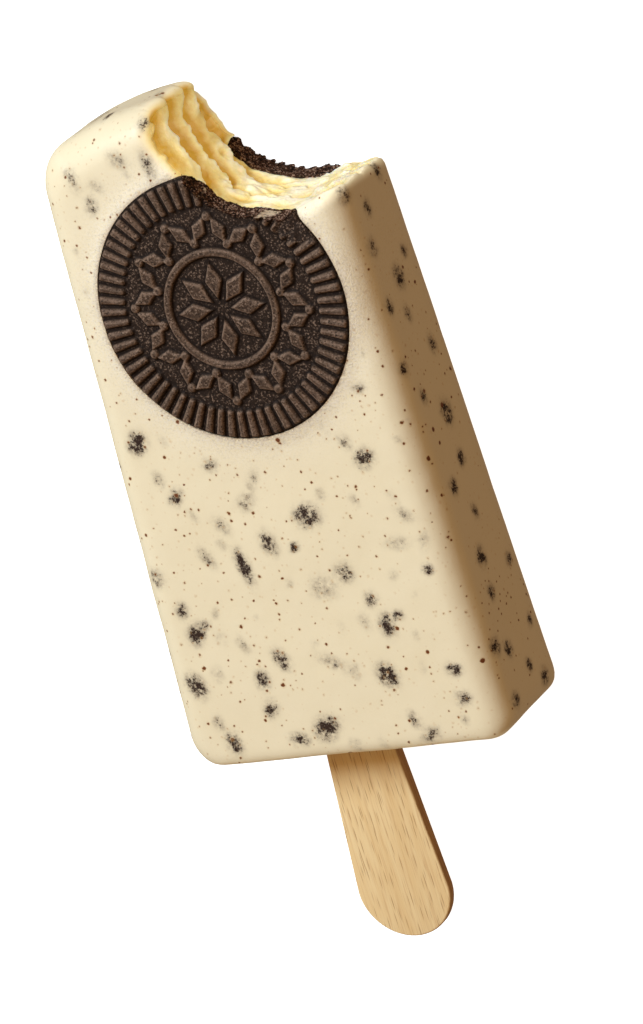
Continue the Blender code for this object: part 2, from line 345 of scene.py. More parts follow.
def makeCamera():
    azimuth, elevation = (math.radians(view[name]) for name in ("azimuth", "elevation"))
    level = math.cos(elevation)
    back = Vector((math.sin(azimuth) * level, -math.cos(azimuth) * level, math.sin(elevation)))
    levelRight = Vector((0, 0, 1)).cross(back).normalized()
    turned = Matrix.Rotation(math.radians(view["roll"]), 3, back)
    right = turned @ levelRight
    up = back.cross(right)
    data = bpy.data.cameras.new("camera")
    data.lens = view["lens"]
    data.sensor_width = 36.0
    camera = bpy.data.objects.new("camera", data)
    axes = Matrix((right, up, back)).transposed().to_4x4()
    place = (Vector(view["aim"]) + back * view["distance"]) / 1000
    camera.matrix_world = Matrix.Translation(place) @ axes
    bpy.context.scene.collection.objects.link(camera)
    bpy.context.scene.camera = camera


studio = {
    "distance": 1.2,  # of every light, in metres, as are the sizes
    "key": {"from": (-0.38, 0.62, 0.70), "size": 0.51, "power": 14.8, "colour": (0.73, 0.88, 1.0)},
    # on the whole bar, for the glow where the coat turns away
    "warm": {"from": (0.0, 0.50, 0.85), "size": 0.9, "power": 2.45, "colour": (1.0, 0.50, 0.05)},
    # on the ice cream alone, for the light that scatters in it
    "fill": {"from": (0.75, 0.45, 0.35), "size": 0.9, "power": 8.7, "colour": (0.97, 1.0, 0.90)},
    "roomColour": (1.0, 0.66, 0.40),
    "roomStrength": 0.262,
    "floorColour": (0.95, 0.95, 0.95),
    "floorGlow": 1.05,
}


def areaLight(name):
    look = studio[name]
    data = bpy.data.lights.new(name, "AREA")
    data.shape = "DISK"
    data.size = look["size"]
    data.energy = look["power"]
    data.color = look["colour"]
    light = bpy.data.objects.new(name, data)
    towards = Vector(look["from"]).normalized()
    light.location = towards * studio["distance"]
    light.rotation_euler = towards.to_track_quat("Z", "Y").to_euler()
    bpy.context.scene.collection.objects.link(light)
    return light


def makeLight():
    areaLight("key")
    world = bpy.data.worlds.new("room")
    world.use_nodes = True
    sky = world.node_tree.nodes["Background"]
    sky.inputs["Color"].default_value = (*studio["roomColour"], 1.0)
    sky.inputs["Strength"].default_value = studio["roomStrength"]
    bpy.context.scene.world = world
    bpy.context.scene.view_settings.view_transform = "Standard"


def lightOnly(name, *items):
    # a light that falls on some pieces alone
    light = areaLight(name)
    lit = bpy.data.collections.new(name + "Lit")
    for item in items:
        lit.objects.link(item)
    light.light_linking.receiver_collection = lit


def makeFloor():
    paint = Paint("floor", {"Roughness": 0.9, "Specular IOR Level": 0.1})
    paper = paint.noise(paint.place(), 40.0, 3.0)
    colour = paint.mix(paper, tuple(c * 0.99 for c in studio["floorColour"]), studio["floorColour"])
    paint.surface.inputs["Emission Strength"].default_value = studio["floorGlow"]
    material = paint.output(Base_Color=colour, Emission_Color=colour)
    bm = bmesh.new()
    bmesh.ops.create_grid(bm, x_segments=4, y_segments=4, size=3.0)
    floor = newObject("floor", bm)
    floor.data.materials.append(material)
    floor.visible_diffuse = False  # the pale floor throws no light back on the bar
    floor.visible_glossy = False


def arc(centre, radius, start, stop, steps):
    points = []
    for i in range(steps + 1):
        angle = math.radians(start + (stop - start) * i / steps)
        points.append(centre + radius * Vector((math.cos(angle), math.sin(angle))))
    return points


def roundedCorner(first, corner, last, radius, steps):
    # arc of the radius between two straight stretches that meet at the corner
    a = (first - corner).normalized()
    b = (last - corner).normalized()
    half = a.angle(b) / 2
    centre = corner + (a + b).normalized() * radius / math.sin(half)
    start = math.degrees(math.atan2(*(corner + a * radius / math.tan(half) - centre).yx))
    stop = math.degrees(math.atan2(*(corner + b * radius / math.tan(half) - centre).yx))
    if stop < start:
        stop += 360.0
    return arc(centre, radius, start, stop, steps)


def halfOutline(pull, tipCorner, endCorner, steps):
    # right half of the outline from the middle of the stick end to the middle of
    # the tip; pull draws in the side, the tip and the stick end
    side, tip, end = pull
    edge = Vector((bar["halfWidthEnd"] - side, end))
    shoulder = Vector((bar["halfWidthTip"] - side, bar["length"] - bar["tipRise"] - tip))
    crown = bar["length"] - tip
    bulge = (shoulder.x**2 + bar["tipRise"] ** 2) / (2 * bar["tipRise"])

    def archAt(x):
        return crown - bulge + math.sqrt(bulge**2 - x**2)

    near = Vector((shoulder.x * 0.5, archAt(shoulder.x * 0.5)))
    low = roundedCorner(Vector((0.0, end)), edge, shoulder, endCorner, steps)
    high = roundedCorner(edge, shoulder, near, tipCorner, steps)
    outline = [Vector((0.0, end))] + low
    outline += [low[-1].lerp(high[0], i / 8) for i in range(1, 8)]
    outline += high
    last = high[-1]
    lift = last.y - archAt(last.x)
    for i in range(1, steps + 1):
        x = last.x * (1 - i / steps)
        outline.append(Vector((x, archAt(x) + lift * (1 - i / steps) ** 2)))
    return outline


def fullOutline(pull, tipCorner, shrink, steps):
    right = halfOutline(pull, tipCorner, max(bar["endCornerRight"] - shrink, 1.0), steps)
    left = halfOutline(pull, tipCorner, max(bar["endCornerLeft"] - shrink, 1.0), steps)
    return right + [Vector((-p.x, p.y)) for p in reversed(left[1:-1])]


def halfThickness(y):
    return bar["halfThickEnd"] + (bar["halfThickTip"] - bar["halfThickEnd"]) * y / bar["length"]


def filletHeight(index, count, steps, inset, y):
    # fillet radius at a point of the outline, blended round the corners
    index = min(index, count - index)
    side = bar["footFillet"]
    side += (bar["sideFillet"] - side) * smoothStep(y / bar["footLength"]) - inset
    end = max(bar["endFillet"] - inset, 0.4)
    if index <= 1:
        return end
    if index <= steps + 1:
        return end + (side - end) * smoothStep((index - 1) / steps)
    if index >= count // 2 - steps:
        return bar["tipFillet"] - inset
    return side


def barBody(name, inset, steps, rings):
    # rings of the fillets, bridged one above another; inset draws the whole in
    outer = fullOutline((inset, inset, inset), bar["tipCorner"] - inset, inset, steps)
    pull = (bar["sideFillet"], bar["tipFillet"], max(bar["endFillet"], inset + 0.4))
    inner = fullOutline(pull, bar["tipCorner"] / 2, bar["endFillet"], steps)
    count = len(outer)
    bm = bmesh.new()
    loops = []
    for level in range(2 * (rings + 1)):
        top = level > rings
        turn = (2 * rings + 1 - level if top else level) / rings * math.pi / 2
        ring = []
        for i in range(count):
            spot = outer[i].lerp(inner[i], 1 - math.sin(turn))
            drop = filletHeight(i, count, steps, inset, outer[i].y) * (1 - math.cos(turn))
            z = halfThickness(spot.y) - inset - drop
            ring.append(bm.verts.new((spot.x, spot.y, z if top else -z)))
        loops.append([bm.edges.new((ring[i - 1], ring[i])) for i in range(count)])
    for low, high in zip(loops, loops[1:]):
        bmesh.ops.bridge_loops(bm, edges=low + high)
    for rim in (loops[0], loops[-1]):
        bmesh.ops.contextual_create(bm, geom=rim)
    return newObject(name, bm)


def makeBody():
    # evenly meshed outside of the whole bar, before the bite
    body = barBody("creamCoat", 0.0, 16, 12)
    even = body.modifiers.new("even", "REMESH")
    even.mode = "VOXEL"
    even.voxel_size = bar["voxel"]
    applyModifiers(body)
    smoothMesh(body)
    return body


bite = {
    "x": 15.7,
    "y": 112.2,
    "radius": 18.7,
    "lean": 0.05,
    "toothMarks": (  # angle, width, depth at the front, depth at the back
        (178.0, 8.0, -0.2, -0.8), (192.0, 12.0, 1.3, 0.0), (236.0, 13.0, 0.6, 0.6),
        (271.0, 8.0, 1.0, -0.4), (284.0, 8.0, 0.2, -0.7), (308.0, 10.0, 1.2, 1.0),
    ),
    "wall": (150.0, 350.0),  # degrees between which the round of the bite meets the bar
    "stepsFrom": (168.0, 12.0),  # the scraped steps set in at this angle, over so many degrees
    "curdsFrom": (212.0, 34.0),
    "smoothPatch": (268.0, 14.0),  # middle and width
    "pitch": 5.0,  # of the scraped steps, front to back
    "drift": 0.078,  # how far the steps climb for each degree round the bite
    "firstStep": 3.1,
    "stepDepth": 2.0,
    "drop": 0.13,  # share of a step in which it comes back out to the next crest
    "curdSize": 3.3,
    "curdDepth": 0.7,
    "flakeSize": 0.9,
    "flakeDepth": 0.05,
    "backScallop": 1.3,  # depth and length of the scallops along the back rim
    "scallopLength": 2.0,
    "frontRim": 2.4,  # radius of the rounded rim, wider on the left and at both ends
    "leftRim": 3.2,
    "backRim": 0.9,
    "tipRim": 2.2,
    "endRim": 4.8,
    "leftRimUntil": (240.0, -30.0),  # from the left, so over a negative number of degrees
    "tipRimUntil": (182.0, -14.0),
    "endRimFrom": (304.0, 16.0),
    "rimReach": 7.0,  # the rim is rounded, and its faces are finer, within these of the wall
    "fineReach": 4.0,
    "sides": 760,
    "levels": 170,
    "halfHeight": 13.5,
}


def roundBite(found):
    # angle in degrees round the bite's axis and distance from it, for rows of points
    x = found[:, 0] - bite["x"]
    y = found[:, 1] - bite["y"]
    return np.degrees(np.arctan2(y, x)) % 360.0, np.hypot(x, y)


def biteBase(angle, z):
    # radius of the bite without its relief; the angle is in degrees
    reach = bite["radius"]
    front = z / 20.0 + 0.5
    for centre, width, ahead, behind in bite["toothMarks"]:
        reach += (behind + (ahead - behind) * front) * bell(angle, centre, width)
    return reach + bite["lean"] * math.cos(math.radians((angle - 247.0) * 3.3)) * z


def lobes(along, size, row):
    # rounded lobes in a row with a sharp nick between two
    gap = noise.voronoi(Vector((along / size, row * 3.7, 1.3 * size)))[0][0]
    return 1.0 - gap * gap


def curds(spot):
    # soft lumps: 0 on top of each, 1 in the rounded creases between them
    warp = [wave(0.9 * spot.x + shift, 0.9 * spot.y, 0.9 * spot.z) for shift in (0.0, 31.0, 62.0)]
    gap = noise.voronoi(spot + 0.5 * Vector(warp))[0]
    return bell(gap[1], gap[0], 0.6)


def biteRelief(angle, z):
    # depth of the hollows: long scraped steps on the left wall, soft curds below.
    # Towards the front each step sinks slowly from its crest, and comes back sharply
    # to the next one, whose edge is scalloped.
    along = math.radians(angle) * bite["radius"]
    low = ease(angle, *bite["curdsFrom"])
    steps = ease(angle, *bite["stepsFrom"]) * (1.0 - 0.78 * low)
    height = z - bite["firstStep"] - bite["drift"] * (min(angle, 240.0) - 190.0)
    height += 1.4 * wave(along / 7.5, z / 9.0, 3.1)
    height += 0.6 * wave(along / 2.8, z / 6.0, 7.7)
    edge = round(height / bite["pitch"])
    near = 1.0 - ease(abs(height / bite["pitch"] - edge), 0.12, 0.30)
    nicked = 0.5 + 1.4 * abs(wave(along / 3.0, edge * 4.3, 6.0))
    nicks = 1.3 * lobes(along, 1.5, edge) + 0.5 * lobes(along, 0.65, edge)
    scallop = 1.9 * lobes(along, 3.9, edge) + nicked * nicks
    phase = (height + (scallop - 2.3) * near) / bite["pitch"]
    layer = math.floor(phase)
    phase -= layer
    step = min((phase / (1.0 - bite["drop"])) ** 2.1, (1.0 - phase) / bite["drop"])
    depth = bite["stepDepth"] * (1.0 + 0.6 * wave(along / 4.5, layer * 2.9, 0.4))
    relief = steps * (depth * step - 0.5)
    size = bite["curdSize"]
    lumps = curds(Vector((along / size, z / (0.8 * size), 0.0)))
    lumps = 0.8 * lumps + 0.22 * curds(Vector((along / 1.7, z / 1.5, 5.0)))
    lively = 1.0 - 0.6 * bell(angle, *bite["smoothPatch"])
    relief += bite["curdDepth"] * (lumps - 0.3) * (0.25 + 0.75 * low) * lively
    relief += 0.5 * wave(along / 4.5, z / 3.5, 9.0)
    relief += 0.15 * wave(along / 1.5, z / 1.5, 2.0) * lively
    back = ease(z, -4.0, -4.0) * (1.0 - 0.5 * low)
    relief += back * bite["backScallop"] * (lobes(along, bite["scallopLength"], 11) - 0.6)
    flake = noise.noise(Vector((along, z, 8.0)) / bite["flakeSize"] * 1.6)
    return relief + bite["flakeDepth"] * flake * (0.5 + low)


def rimRadius(angle, facing):
    # facing runs from 1 on the front of the bar to -1 on its back
    front = bite["frontRim"] + (bite["leftRim"] - bite["frontRim"]) * ease(angle, *bite["leftRimUntil"])
    wide = bite["backRim"] + (front - bite["backRim"]) * (facing + 1.0) / 2.0
    wide += (bite["tipRim"] - wide) * ease(angle, *bite["tipRimUntil"])
    return wide + (bite["endRim"] - wide) * ease(angle, *bite["endRimFrom"])


def calm(depth, angle, facing):
    # the relief fades out towards the rounded front rim, and hardly at the back one
    ahead = (facing + 1.0) / 2.0
    least = 0.55 * (1.0 - ahead)
    reach = 0.3 + (0.8 + 1.1 * ahead) * rimRadius(angle, facing)
    return least + (1.0 - least) * ease(depth, 0.0, reach)


def biteCutter(name, skin, relief):
    # tall drum whose wall has the relief, which may depend on the depth below the skin;
    # close above the skin the wall keeps the relief of the rim
    bm = bmesh.new()
    bmesh.ops.create_cone(
        bm, cap_ends=True, segments=bite["sides"], radius1=bite["radius"],
        radius2=bite["radius"], depth=2 * bite["halfHeight"],
    )
    upright = [e for e in bm.edges if abs(e.verts[0].co.z - e.verts[1].co.z) > bite["halfHeight"]]
    bmesh.ops.subdivide_edges(bm, edges=upright, cuts=bite["levels"], use_grid_fill=True)
    for vert in bm.verts:
        angle = angleOf(vert.co)
        z = vert.co.z
        way = Vector((vert.co.x, vert.co.y, 0.0)).normalized()
        spot = Vector((bite["x"], bite["y"], z)) + way * biteBase(angle, z)
        hollow = 0.0
        if bite["wall"][0] < angle < bite["wall"][1]:
            near, normal, _, gap = skin.find_nearest(spot)
            depth = gap if (near - spot).dot(normal) > 0 else 0.0
            if depth > 0 or gap < 3.0:
                hollow = relief(angle, z, depth, normal.z)
        vert.co = spot + way * hollow
    return newObject(name, bm)


def roundRims(item, cutter, skin):
    # moves the faces near the rim in to a smooth blend of the two surfaces that meet there
    wall = tree(cutter)
    middle = Vector((bite["x"], bite["y"], 0.0))
    found = places(item)
    away = np.abs(roundBite(found)[1] - bite["radius"])
    moved = []
    for i in np.flatnonzero(away < bite["rimReach"]):
        spot = Vector(found[i])
        for _ in range(5):
            out = Vector((spot.x - middle.x, spot.y - middle.y, 0.0)).normalized()
            angle = angleOf(out)
            skinSpot, skinOut, _, _ = skin.find_nearest(spot)
            wallSpot, wallOut, _, _ = wall.find_nearest(spot)
            inSkin = (skinSpot - spot).dot(skinOut)
            inWall = (spot - wallSpot).dot(wallOut)
            wide = rimRadius(angle, skinOut.z) / 0.85
            share = min(max(0.5 + 0.5 * (inWall - inSkin) / wide, 0.0), 1.0)
            inside = inWall * (1.0 - share) + inSkin * share - wide * share * (1.0 - share)
            if share in (0.0, 1.0) or inside > -0.01:
                break
            lean = out * (1.0 - share) - skinOut * share
            move = lean * (-inside / max(lean.length_squared, 0.05))
            spot += move * min(1.0, 0.5 / move.length)
            moved.append(i)
        found[i] = spot
    setPlaces(item, found)
    smoothMesh(item, sorted(set(moved)))


wafer = {
    "radius": 22.5,
    "thick": 3.6,
    "x": 1.06,
    "y": 79.1,
    "proud": 0.25,
    "sunk": 0.1,
    "ridges": 65,
    "ridgeHeight": 0.8,
    "ridgeInner": 0.775,
    "ridgeOuter": 0.985,
    "ridgeShare": 0.68,  # of the pitch that is ridge
    "embossHeight": 0.7,
    "ring": (0.43, 0.75),  # share of the radius, half width
    # lozenges: number, share of the radius, width, length, tilt to either side, shoulder
    "rays": (8, 0.215, 3.3, 6.6, 0.0, 0.7),
    "leaves": (24, 0.605, 2.7, 5.2, 34.0, 0.6),
    "beads": (0.51, 0.70, 0.85),  # between the leaves: two shares of the radius, own radius
    "chamfer": 0.3,
    "taper": 2.4,  # how far the baked underside rounds in at its edge
    # smears of ice cream on the break: x, y, half length, half width, turn in degrees
    "smears": ((13.7, 93.3, 1.9, 0.35, -8.0), (3.1, 98.8, 0.9, 0.45, 60.0)),
    "wornAt": (19.0, 91.0, 11.0),  # the front wafer's rim is worn down here
    "wornHalf": (4.2, 3.0),
    "turns": 520,
    "circles": 84,
}


def rise(distance, shoulder):
    # rounded shoulder of a raised form, from the distance inside its outline
    share = np.clip(-distance / shoulder, 0.0, 1.0)
    return np.sqrt(1.0 - (1.0 - share) ** 2)


def lozenge(across, along, width, length):
    half = (width / 2, length / 2)
    slant = half[0] * half[1] / math.hypot(*half)
    return (np.abs(across) / half[0] + np.abs(along) / half[1] - 1.0) * slant


def waferRelief(radius, angle):
    # height of the emboss over the field at polar places on the wafer, and the
    # distance to the nearest outline of a raised form, negative inside it
    size = wafer["radius"]
    pitch = math.tau / wafer["ridges"]
    across = ((angle / pitch) % 1.0 - 0.5) * pitch * radius
    middle = (wafer["ridgeInner"] + wafer["ridgeOuter"]) / 2 * size
    half = (wafer["ridgeOuter"] - wafer["ridgeInner"]) / 2 * size
    corner = 0.35
    gapX = np.abs(across) - pitch * radius * wafer["ridgeShare"] / 2 + corner
    gapY = np.abs(radius - middle) - half + corner
    outside = np.hypot(np.maximum(gapX, 0.0), np.maximum(gapY, 0.0))
    ridge = outside + np.minimum(np.maximum(gapX, gapY), 0.0) - corner
    x = radius * np.cos(angle)
    y = radius * np.sin(angle)
    forms = [(np.abs(radius - wafer["ring"][0] * size) - wafer["ring"][1], 0.5)]
    for count, share, width, length, tilt, shoulder in (wafer["rays"], wafer["leaves"]):
        for i in range(count):
            turn = math.tau * i / count
            slant = turn + math.radians(tilt if i % 2 else -tilt)
            dx = x - share * size * math.cos(turn)
            dy = y - share * size * math.sin(turn)
            along = dx * math.cos(slant) + dy * math.sin(slant)
            across = dy * math.cos(slant) - dx * math.sin(slant)
            forms.append((lozenge(across, along, width, length), shoulder))
    inner, outer, own = wafer["beads"]
    for i in range(count):
        turn = math.tau * (i + 0.5) / count
        reach = (outer if i % 2 else inner) * size
        forms.append((np.hypot(x - reach * math.cos(turn), y - reach * math.sin(turn)) - own, 0.6))
    raised = np.max([rise(form, shoulder) for form, shoulder in forms], axis=0)
    nearest = np.min([ridge] + [form for form, _ in forms], axis=0)
    return np.maximum(wafer["ridgeHeight"] * rise(ridge, 0.7), wafer["embossHeight"] * raised), nearest


def waferSide(hair):
    # corners of the half section from below the rim to the middle of the underside
    size, thick, taper = wafer["radius"] - hair, wafer["thick"], wafer["taper"]
    return (
        (size, -0.35 * thick), (size - 0.35 * taper, hair - 0.8 * thick),
        (size - taper, hair - thick), (0.0, hair - thick),
    )


def waferDisc(name):
    # z = 0 is the field
    size, edge = wafer["radius"], wafer["chamfer"]
    top = ((0.0, 0.0), (size - edge, 0.0), (size, -edge))
    return spun(name, top + waferSide(0.0), (wafer["circles"], 0, 4, 4, 4, 12), wafer["turns"])


def waferWell(place):
    # the room that a wafer takes up, reaching out of the bar, a hair smaller than the wafer
    hair = 0.03
    top = ((0.0, wafer["thick"]), (wafer["radius"] - hair, wafer["thick"]))
    well = spun("well", top + waferSide(hair), (), 192)
    well.data.transform(place)
    return well


def waferPlaces():
    middle = (wafer["x"], wafer["y"])
    height = halfThickness(wafer["y"])
    front = Matrix.Translation((*middle, height + wafer["proud"])) @ Matrix.Rotation(-slope, 4, "X")
    drop = wafer["sunk"] + max(wafer["ridgeHeight"], wafer["embossHeight"])
    back = Matrix.Translation((*middle, drop - height)) @ Matrix.Rotation(slope + math.pi, 4, "X")
    return front, back


def makeWafer(name, place, cutter, worn=None):
    disc = waferDisc(name)
    found = places(disc)
    radius = np.hypot(found[:, 0], found[:, 1])
    angle = np.arctan2(found[:, 1], found[:, 0])
    top = found[:, 2] > -0.01
    height, nearest = waferRelief(radius, angle)
    relief = np.where(top, height, 0.0)
    relief *= 1.0 + 0.12 * noiseAt(found, 3.0, 2.0)
    wear = np.zeros(len(found))
    if worn:
        spot = place.inverted() @ Vector(worn)
        long, short = wafer["wornHalf"]
        gap = np.hypot((found[:, 0] - spot.x) / long, (found[:, 1] - spot.y) / short)
        gap += 0.3 * noiseAt(found, 1.5, 5.0)
        wear = 1.0 - smoothStep((gap - 0.75) / 0.4)
    rough = 0.22 + 0.20 * noiseAt(found, 0.9, 8.0) + 0.12 * noiseAt(found, 0.45, 9.0)
    relief = relief * (1.0 - wear) + np.where(top, rough, 0.0) * wear
    rim = smoothStep((radius - 0.95 * wafer["radius"]) / 1.0)
    found[:, 2] += relief + 0.06 * noiseAt(found, 1.2, 4.0) * np.where(top, rim, 0.0)
    setPlaces(disc, found)
    clear = np.where(top, 1.0 - wear, 0.0)
    setAttributes(
        disc,
        raised=np.clip(relief / wafer["ridgeHeight"], 0.0, 1.0),
        # painted shade: a dark band just outside each raised form
        groove=clear * np.exp(-((np.maximum(nearest, 0.0) / 0.5) ** 2)),
        # painted highlight: a light band just inside each raised form's outline
        edge=clear * np.exp(-(((nearest + 0.30) / 0.20) ** 2)),
    )
    disc.data.transform(place)
    boolean(disc, cutter)
    breakAttributes(disc)
    return disc


def breakAttributes(disc):
    # the broken face, and the smears of ice cream on the front
    found = places(disc)
    turn, away = roundBite(found)
    edge = np.array([biteBase(a, z) + crumbRelief(a, z) for a, z in zip(turn, found[:, 2])])
    broken = 1.0 - smoothStep((away - edge - 0.03) / 0.25)
    smear = np.zeros(len(found))
    for x, y, long, short, slant in wafer["smears"]:
        across = found[:, :2] - (x, y)
        way = np.array((math.cos(math.radians(slant)), math.sin(math.radians(slant))))
        along = across @ way / long
        aside = (across[:, 1] * way[0] - across[:, 0] * way[1]) / short
        smear = np.maximum(smear, np.exp(-(along**2) - aside**2))
    smear = smear * (found[:, 2] > 8.0) * (1.0 + 0.6 * noiseAt(found, 0.5, 3.0))
    setAttributes(disc, broken=broken, smear=smoothStep((smear - 0.35) / 0.3))


def crumbRelief(angle, z):
    # the baked wafers break in small crumbs, just inside the ice cream's wall
    spot = Vector((math.radians(angle) * bite["radius"], z, 0.0))
    depth = 0.5 * noise.noise(spot / 3.6) + 0.15 * noise.noise(spot / 1.4)
    grain = noise.voronoi(spot / 0.8)[0][0] * 0.15 + noise.voronoi(spot / 0.42)[0][0] * 0.35
    return depth + grain - 0.35


def stickOutline(clear):
    handle = Vector((0.0, stick["halfHandle"] - stick["shows"]))
    hidden = Vector((0.0, stick["length"] - stick["shows"] - stick["halfNeck"]))
    right = []
    for share in (0.25, 0.5, 0.75, 1.0):
        wide = stick["halfHandle"] + (stick["halfNeck"] - stick["halfHandle"]) * share
        right.append(Vector((wide + clear, handle.y * (1 - share))))
    outline = arc(handle, stick["halfHandle"] + clear, 180.0, 360.0, 48) + right
    outline += arc(hidden, stick["halfNeck"] + clear, 0.0, 180.0, 24)
    return outline + [Vector((-p.x, p.y)) for p in reversed(right)]


def stickBody(name, clear):
    bm = bmesh.new()
    half = stick["halfThick"] + clear
    ring = [bm.verts.new((stick["x"] + p.x, p.y, -half)) for p in stickOutline(clear)]
    face = bm.faces.new(ring)
    grown = bmesh.ops.extrude_face_region(bm, geom=[face])["geom"]
    top = [v for v in grown if isinstance(v, bmesh.types.BMVert)]
    bmesh.ops.translate(bm, vec=(0.0, 0.0, 2 * half), verts=top)
    if clear == 0:
        for vert in bm.verts:  # the handle thins towards its end
            share = min(max(-vert.co.y / stick["shows"], 0.0), 1.0)
            vert.co.z *= 1 - (1 - stick["handleHalfThick"] / stick["halfThick"]) * share
        rims = [e for e in bm.edges if e.verts[0].co.z * e.verts[1].co.z > 0]
        bmesh.ops.bevel(
            bm, geom=rims, offset=stick["edge"], segments=3, profile=0.5, affect="EDGES", material=-1,
        )
    return newObject(name, bm)


crumbs = {
    # x, y, half length, half width, turn in degrees, darkness: the largest on the front
    "front": (
        (-2.5, 5.5, 2, 1.6, 30, 1), (-9, 35, 2.6, 1, 100, 1), (5.2, 42.4, 1.9, 1.6, 0, 1),
        (-24.4, 15.2, 1.8, 1.4, 120, 1), (11.4, 13.6, 1.8, 1.4, 120, 1), (14, 22.3, 1.7, 1.2, 90, 0.9),
        (16.3, 23.8, 1, 0.9, 0, 0.7), (-21.5, 24.2, 1.7, 1.3, 70, 0.9), (-19.4, 25.6, 0.9, 0.8, 0, 0.7),
        (-22, 58.2, 1.7, 1.4, 60, 1), (-20.5, 4.4, 1.6, 1.2, 100, 0.9), (-22.3, 8.2, 1.3, 0.9, 100, 0.6),
        (18.5, 51, 1.6, 1.3, 30, 0.9), (15.9, 54, 1.4, 0.9, 120, 0.6), (16.2, 2.6, 1.6, 1.1, 20, 0.7),
        (14, 5.4, 1.5, 0.9, 110, 0.6), (-17.8, 48.2, 1.4, 1.1, 50, 0.8), (-20, 51.6, 1.3, 0.9, 110, 0.6),
        (-7.1, 18.3, 1.6, 1.1, 115, 0.95), (-3.2, 38.6, 1.8, 1.2, 110, 0.85), (-5.2, 46, 1.7, 1.2, 40, 0.6),
        (-3, 49.3, 2, 0.9, 60, 0.5), (4.3, 29.9, 1.9, 1.7, 0, 0.6), (8.9, 32, 1.4, 1.4, 0, 0.8),
        (-11.7, 15.1, 1.4, 1.1, 90, 0.9), (-11.7, 9.8, 1.4, 1.1, 60, 0.8), (-8, 4, 1.6, 1, 170, 0.8),
        (-17.4, 99, 1.3, 1, 90, 0.7), (-19.7, 104, 2.1, 1.1, 110, 0.6), (-15.4, 37.2, 1.8, 0.9, 120, 0.6),
        (20, 36, 2, 1, 0, 0.5), (2, 17, 2.3, 1, 150, 0.55), (-10.4, 106, 1.8, 1.1, 140, 0.6),
        (-5, 104, 2.2, 1, 100, 0.65), (23.7, 13.5, 1.2, 1, 0, 0.9), (-26, 34.5, 1.4, 1.4, 0, 0.7),
        (12.4, 26.9, 1.2, 1, 90, 0.8), (-22.8, 28.6, 1.2, 1, 90, 0.8), (23.9, 8.3, 1.2, 1.1, 0, 0.8),
        (22.6, 40.8, 1.5, 0.9, 140, 0.6), (1.3, 37.4, 0.9, 0.7, 30, 0.9), (24.1, 31, 0.8, 0.8, 0, 1),
        (-11, 42.5, 1.7, 1, 130, 0.55), (-9.8, 53, 1.2, 1, 0, 0.7), (21.1, 62.8, 1.1, 0.8, 0, 0.7),
        (-4.4, 111.2, 1.3, 0.9, 60, 1),
    ),
    # y, z, half length, half width, darkness: on the right side
    "right": (
        (94, -3.8, 1.4, 1, 0.8), (77, 0.1, 1.7, 1.3, 0.9), (84, 5.1, 1.4, 1.2, 0.7),
        (53, -0.9, 1.8, 1.4, 0.95), (45, -0.8, 1.2, 1, 0.9), (64, -3.4, 1.4, 1, 0.8),
        (94, 7.8, 1.3, 1.2, 0.7), (42, 4.4, 1.2, 1.1, 0.9), (90, 3, 1.3, 1, 0.8), (71, 1.1, 1.2, 0.9, 0.8),
        (58, 4.5, 1.2, 0.8, 0.8), (29, 2.8, 1.4, 1.2, 0.95), (23, 3.3, 1.2, 1, 0.9),
        (15, 7.2, 1.3, 1.1, 0.9), (13, 3.7, 1.3, 1, 0.9), (4, -5, 1.4, 1.2, 0.9), (5, 6.5, 1.2, 1.1, 0.8),
        (74, 5.9, 1.2, 1, 0.8), (80, -4.1, 1, 0.9, 0.8), (25, -5.5, 1.1, 1, 0.8), (36, 0.3, 1.2, 0.8, 0.8),
        (8, -0.9, 1, 0.9, 0.9), (14, -5.8, 0.9, 0.9, 0.8), (64, 7.5, 1.2, 0.9, 0.7),
    ),
    "faint": 60,  # scattered by the seed over the front and the right side
    "elsewhere": 150,  # the same over the back, the left side and both ends
    "seed": 11,
}


def crumbSpots(skin):
    # centre, direction, half lengths and darkness of each crumb on the outside
    spots = []
    for x, y, long, short, turn, dark in crumbs["front"]:
        hit = skin.ray_cast(Vector((x, y, 40.0)), Vector((0, 0, -1)))[0]
        way = Vector((math.cos(math.radians(turn)), math.sin(math.radians(turn)), 0.0))
        spots.append((hit, way, long, short, dark))
    for y, z, long, short, dark in crumbs["right"]:
        hit = skin.ray_cast(Vector((60.0, y, z)), Vector((-1, 0, 0)))[0]
        spots.append((hit, Vector((0, 0.95, 0.31)), long, short, dark))
    draw = random.Random(crumbs["seed"])

    def anyWay():
        return Vector([draw.gauss(0, 1) for _ in range(3)])

    wanted = len(spots) + crumbs["faint"]
    while len(spots) < wanted:
        aim = Vector((draw.uniform(-28.0, 30.5), draw.uniform(0.0, bar["length"]), 40.0))
        hit = skin.ray_cast(aim, Vector((0, 0, -1)))[0]
        turn = draw.uniform(0.8, 2.4)
        long = draw.uniform(0.5, 1.5)
        if hit is None or min((hit - s[0]).length for s in spots) < 3.0:
            continue
        way = Vector((math.cos(turn), math.sin(turn), 0.0))
        spots.append((hit, way, long, long * draw.uniform(0.5, 0.9), draw.uniform(0.25, 0.5)))
    wanted += crumbs["elsewhere"]
    while len(spots) < wanted:
        aim = Vector((0.0, draw.uniform(0.0, bar["length"]), 0.0))
        way = anyWay().normalized()
        hit, normal, _, _ = skin.ray_cast(aim + way * 150.0, -way)
        turn = anyWay()
        long = draw.uniform(0.8, 1.9)
        dark = draw.uniform(0.5, 1.0)
        if hit is None or normal.z > 0.6 or normal.x > 0.8:
            continue
        if min((hit - s[0]).length for s in spots) < 4.0:
            continue
        spots.append((hit, normal.cross(turn).normalized(), long, long * draw.uniform(0.55, 0.9), dark))
    return spots


